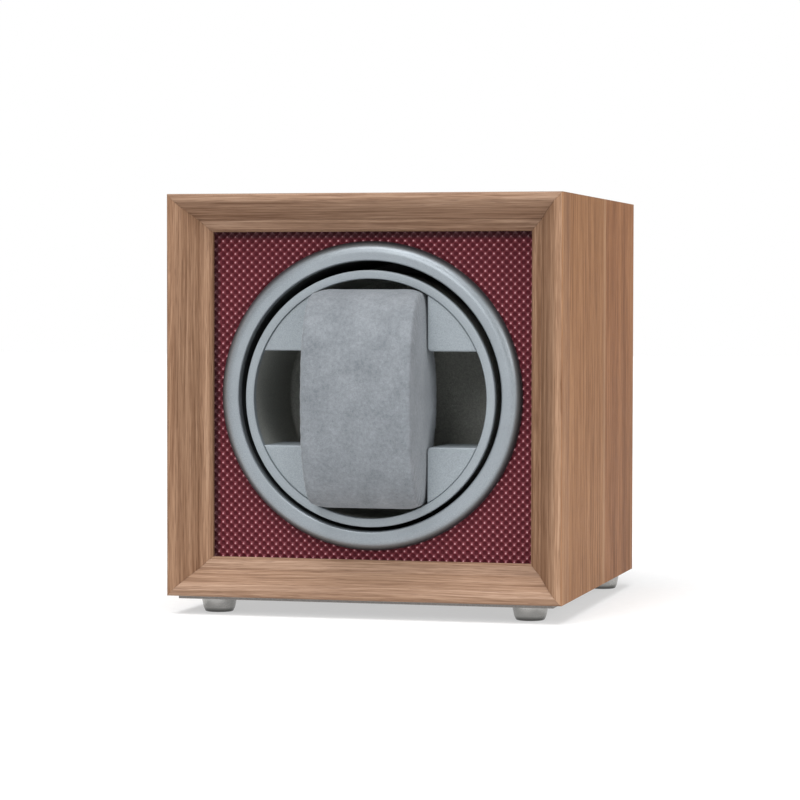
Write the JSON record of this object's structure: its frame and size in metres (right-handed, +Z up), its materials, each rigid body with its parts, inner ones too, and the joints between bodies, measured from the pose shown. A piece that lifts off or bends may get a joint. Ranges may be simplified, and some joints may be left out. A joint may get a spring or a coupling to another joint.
{
  "type": "watch winder",
  "caption": "Square walnut watch winder box: a round geared drum holds a removable suede watch pillow behind a bezel ring in a red leatherette front, with feet and rear controls.",
  "frame": {"origin": "middle of the bounding box, on the surface that the feet stand on", "axes": "+Z up, -Y out of the front with the drum, +X to the right of a person looking at the front"},
  "size_m": [0.125, 0.1494, 0.1309],
  "materials": {
    "walnut": "light walnut veneer, satin lacquer",
    "plain_wood": "bare fibreboard and softwood strip",
    "leatherette": "burgundy leatherette, embossed with a fine woven pattern, semi-gloss",
    "silver_paint": "moulded plastic with satin silver-grey paint",
    "black_plastic": "moulded plastic, matt black",
    "switch_plastic": "moulded plastic, glossy black",
    "suede": "blue-grey microsuede",
    "foam": "open-cell foam",
    "steel": "bright plated steel",
    "motor_steel": "zinc plated steel",
    "brass": "machined brass",
    "nylon": "natural nylon",
    "foot_metal": "satin silver-grey lacquer",
    "circuit_board": "green solder mask",
    "lead_jacket": "red lead insulation"
  },
  "bodies": {
    "cabinet": {"cabinet_top": "walnut", "cabinet_bottom": "walnut", "cabinet_left": "walnut", "cabinet_right": "walnut", "cabinet_back": "walnut", "frame_rail_top": "walnut", "frame_rail_bottom": "walnut", "frame_stile_left": "walnut", "frame_stile_right": "walnut", "corner_cleat_lower_left": "plain_wood", "corner_cleat_lower_right": "plain_wood", "corner_cleat_upper_left": "plain_wood", "corner_cleat_upper_right": "plain_wood", "back_screw_lower_left": "steel", "back_screw_lower_right": "steel", "back_screw_upper_left": "steel", "back_screw_upper_right": "steel", "base_sheet": "black_plastic", "foot_front_left": "foot_metal", "foot_front_right": "foot_metal", "foot_back_left": "foot_metal", "foot_back_right": "foot_metal", "foot_screw_front_left": "steel", "foot_screw_front_right": "steel", "foot_screw_back_left": "steel", "foot_screw_back_right": "steel", "fascia_cover": "leatherette", "fascia_board": "plain_wood", "bezel_ring": "silver_paint", "tunnel_sleeve": "black_plastic", "bulkhead": "black_plastic", "bearing_bush": "brass", "gearbox": "motor_steel", "motor_can": "motor_steel", "motor_screw_1": "steel", "motor_screw_2": "steel", "control_plate": "black_plastic", "control_board": "circuit_board", "motor_lead": "lead_jacket", "mode_switch": "black_plastic", "power_switch_housing": "switch_plastic", "dc_jack": "black_plastic"},
    "drum": {"drum_rim": "silver_paint", "drum_cup": "black_plastic", "drum_block_lower_left": "silver_paint", "drum_block_lower_right": "silver_paint", "drum_block_upper_left": "silver_paint", "drum_block_upper_right": "silver_paint", "drum_gear": "nylon", "drum_axle": "steel", "axle_clip": "steel"},
    "pinion": {"pinion": "brass", "motor_shaft": "steel"},
    "pillow": {"pillow_band": "suede", "pillow_core": "foam", "pillow_end_left": "suede", "pillow_end_right": "suede"},
    "mode_knob": {"mode_knob": "switch_plastic", "mode_shaft": "steel"},
    "power_rocker": {"power_rocker": "switch_plastic"}
  },
  "joints": [
    {"name": "drum_spin", "type": "hinge", "parent": "cabinet", "child": "drum", "pos_m": [0, 0, 0.0676], "axis": [0, 1, 0], "continuous": true},
    {"name": "pinion_spin", "type": "hinge", "parent": "cabinet", "child": "pinion", "pos_m": [0.01928, 0, 0.04462], "axis": [0, 1, 0], "continuous": true},
    {"name": "pillow_slide", "type": "slide", "parent": "drum", "child": "pillow", "axis": [0, -1, 0], "range_m": [0, 0.06]},
    {"name": "mode_knob_turn", "type": "hinge", "parent": "cabinet", "child": "mode_knob", "pos_m": [-0.023, 0.07075, 0.0359], "axis": [0, 1, 0], "range_deg": [-270, 0]},
    {"name": "power_switch_rock", "type": "hinge", "parent": "cabinet", "child": "power_rocker", "pos_m": [0.001, 0.06345, 0.0359], "axis": [1, 0, 0], "range_deg": [0, 16]}
  ],
  "couplings": [
    {"joint": "pinion_spin", "follows": "drum_spin", "ratio": -4}
  ]
}
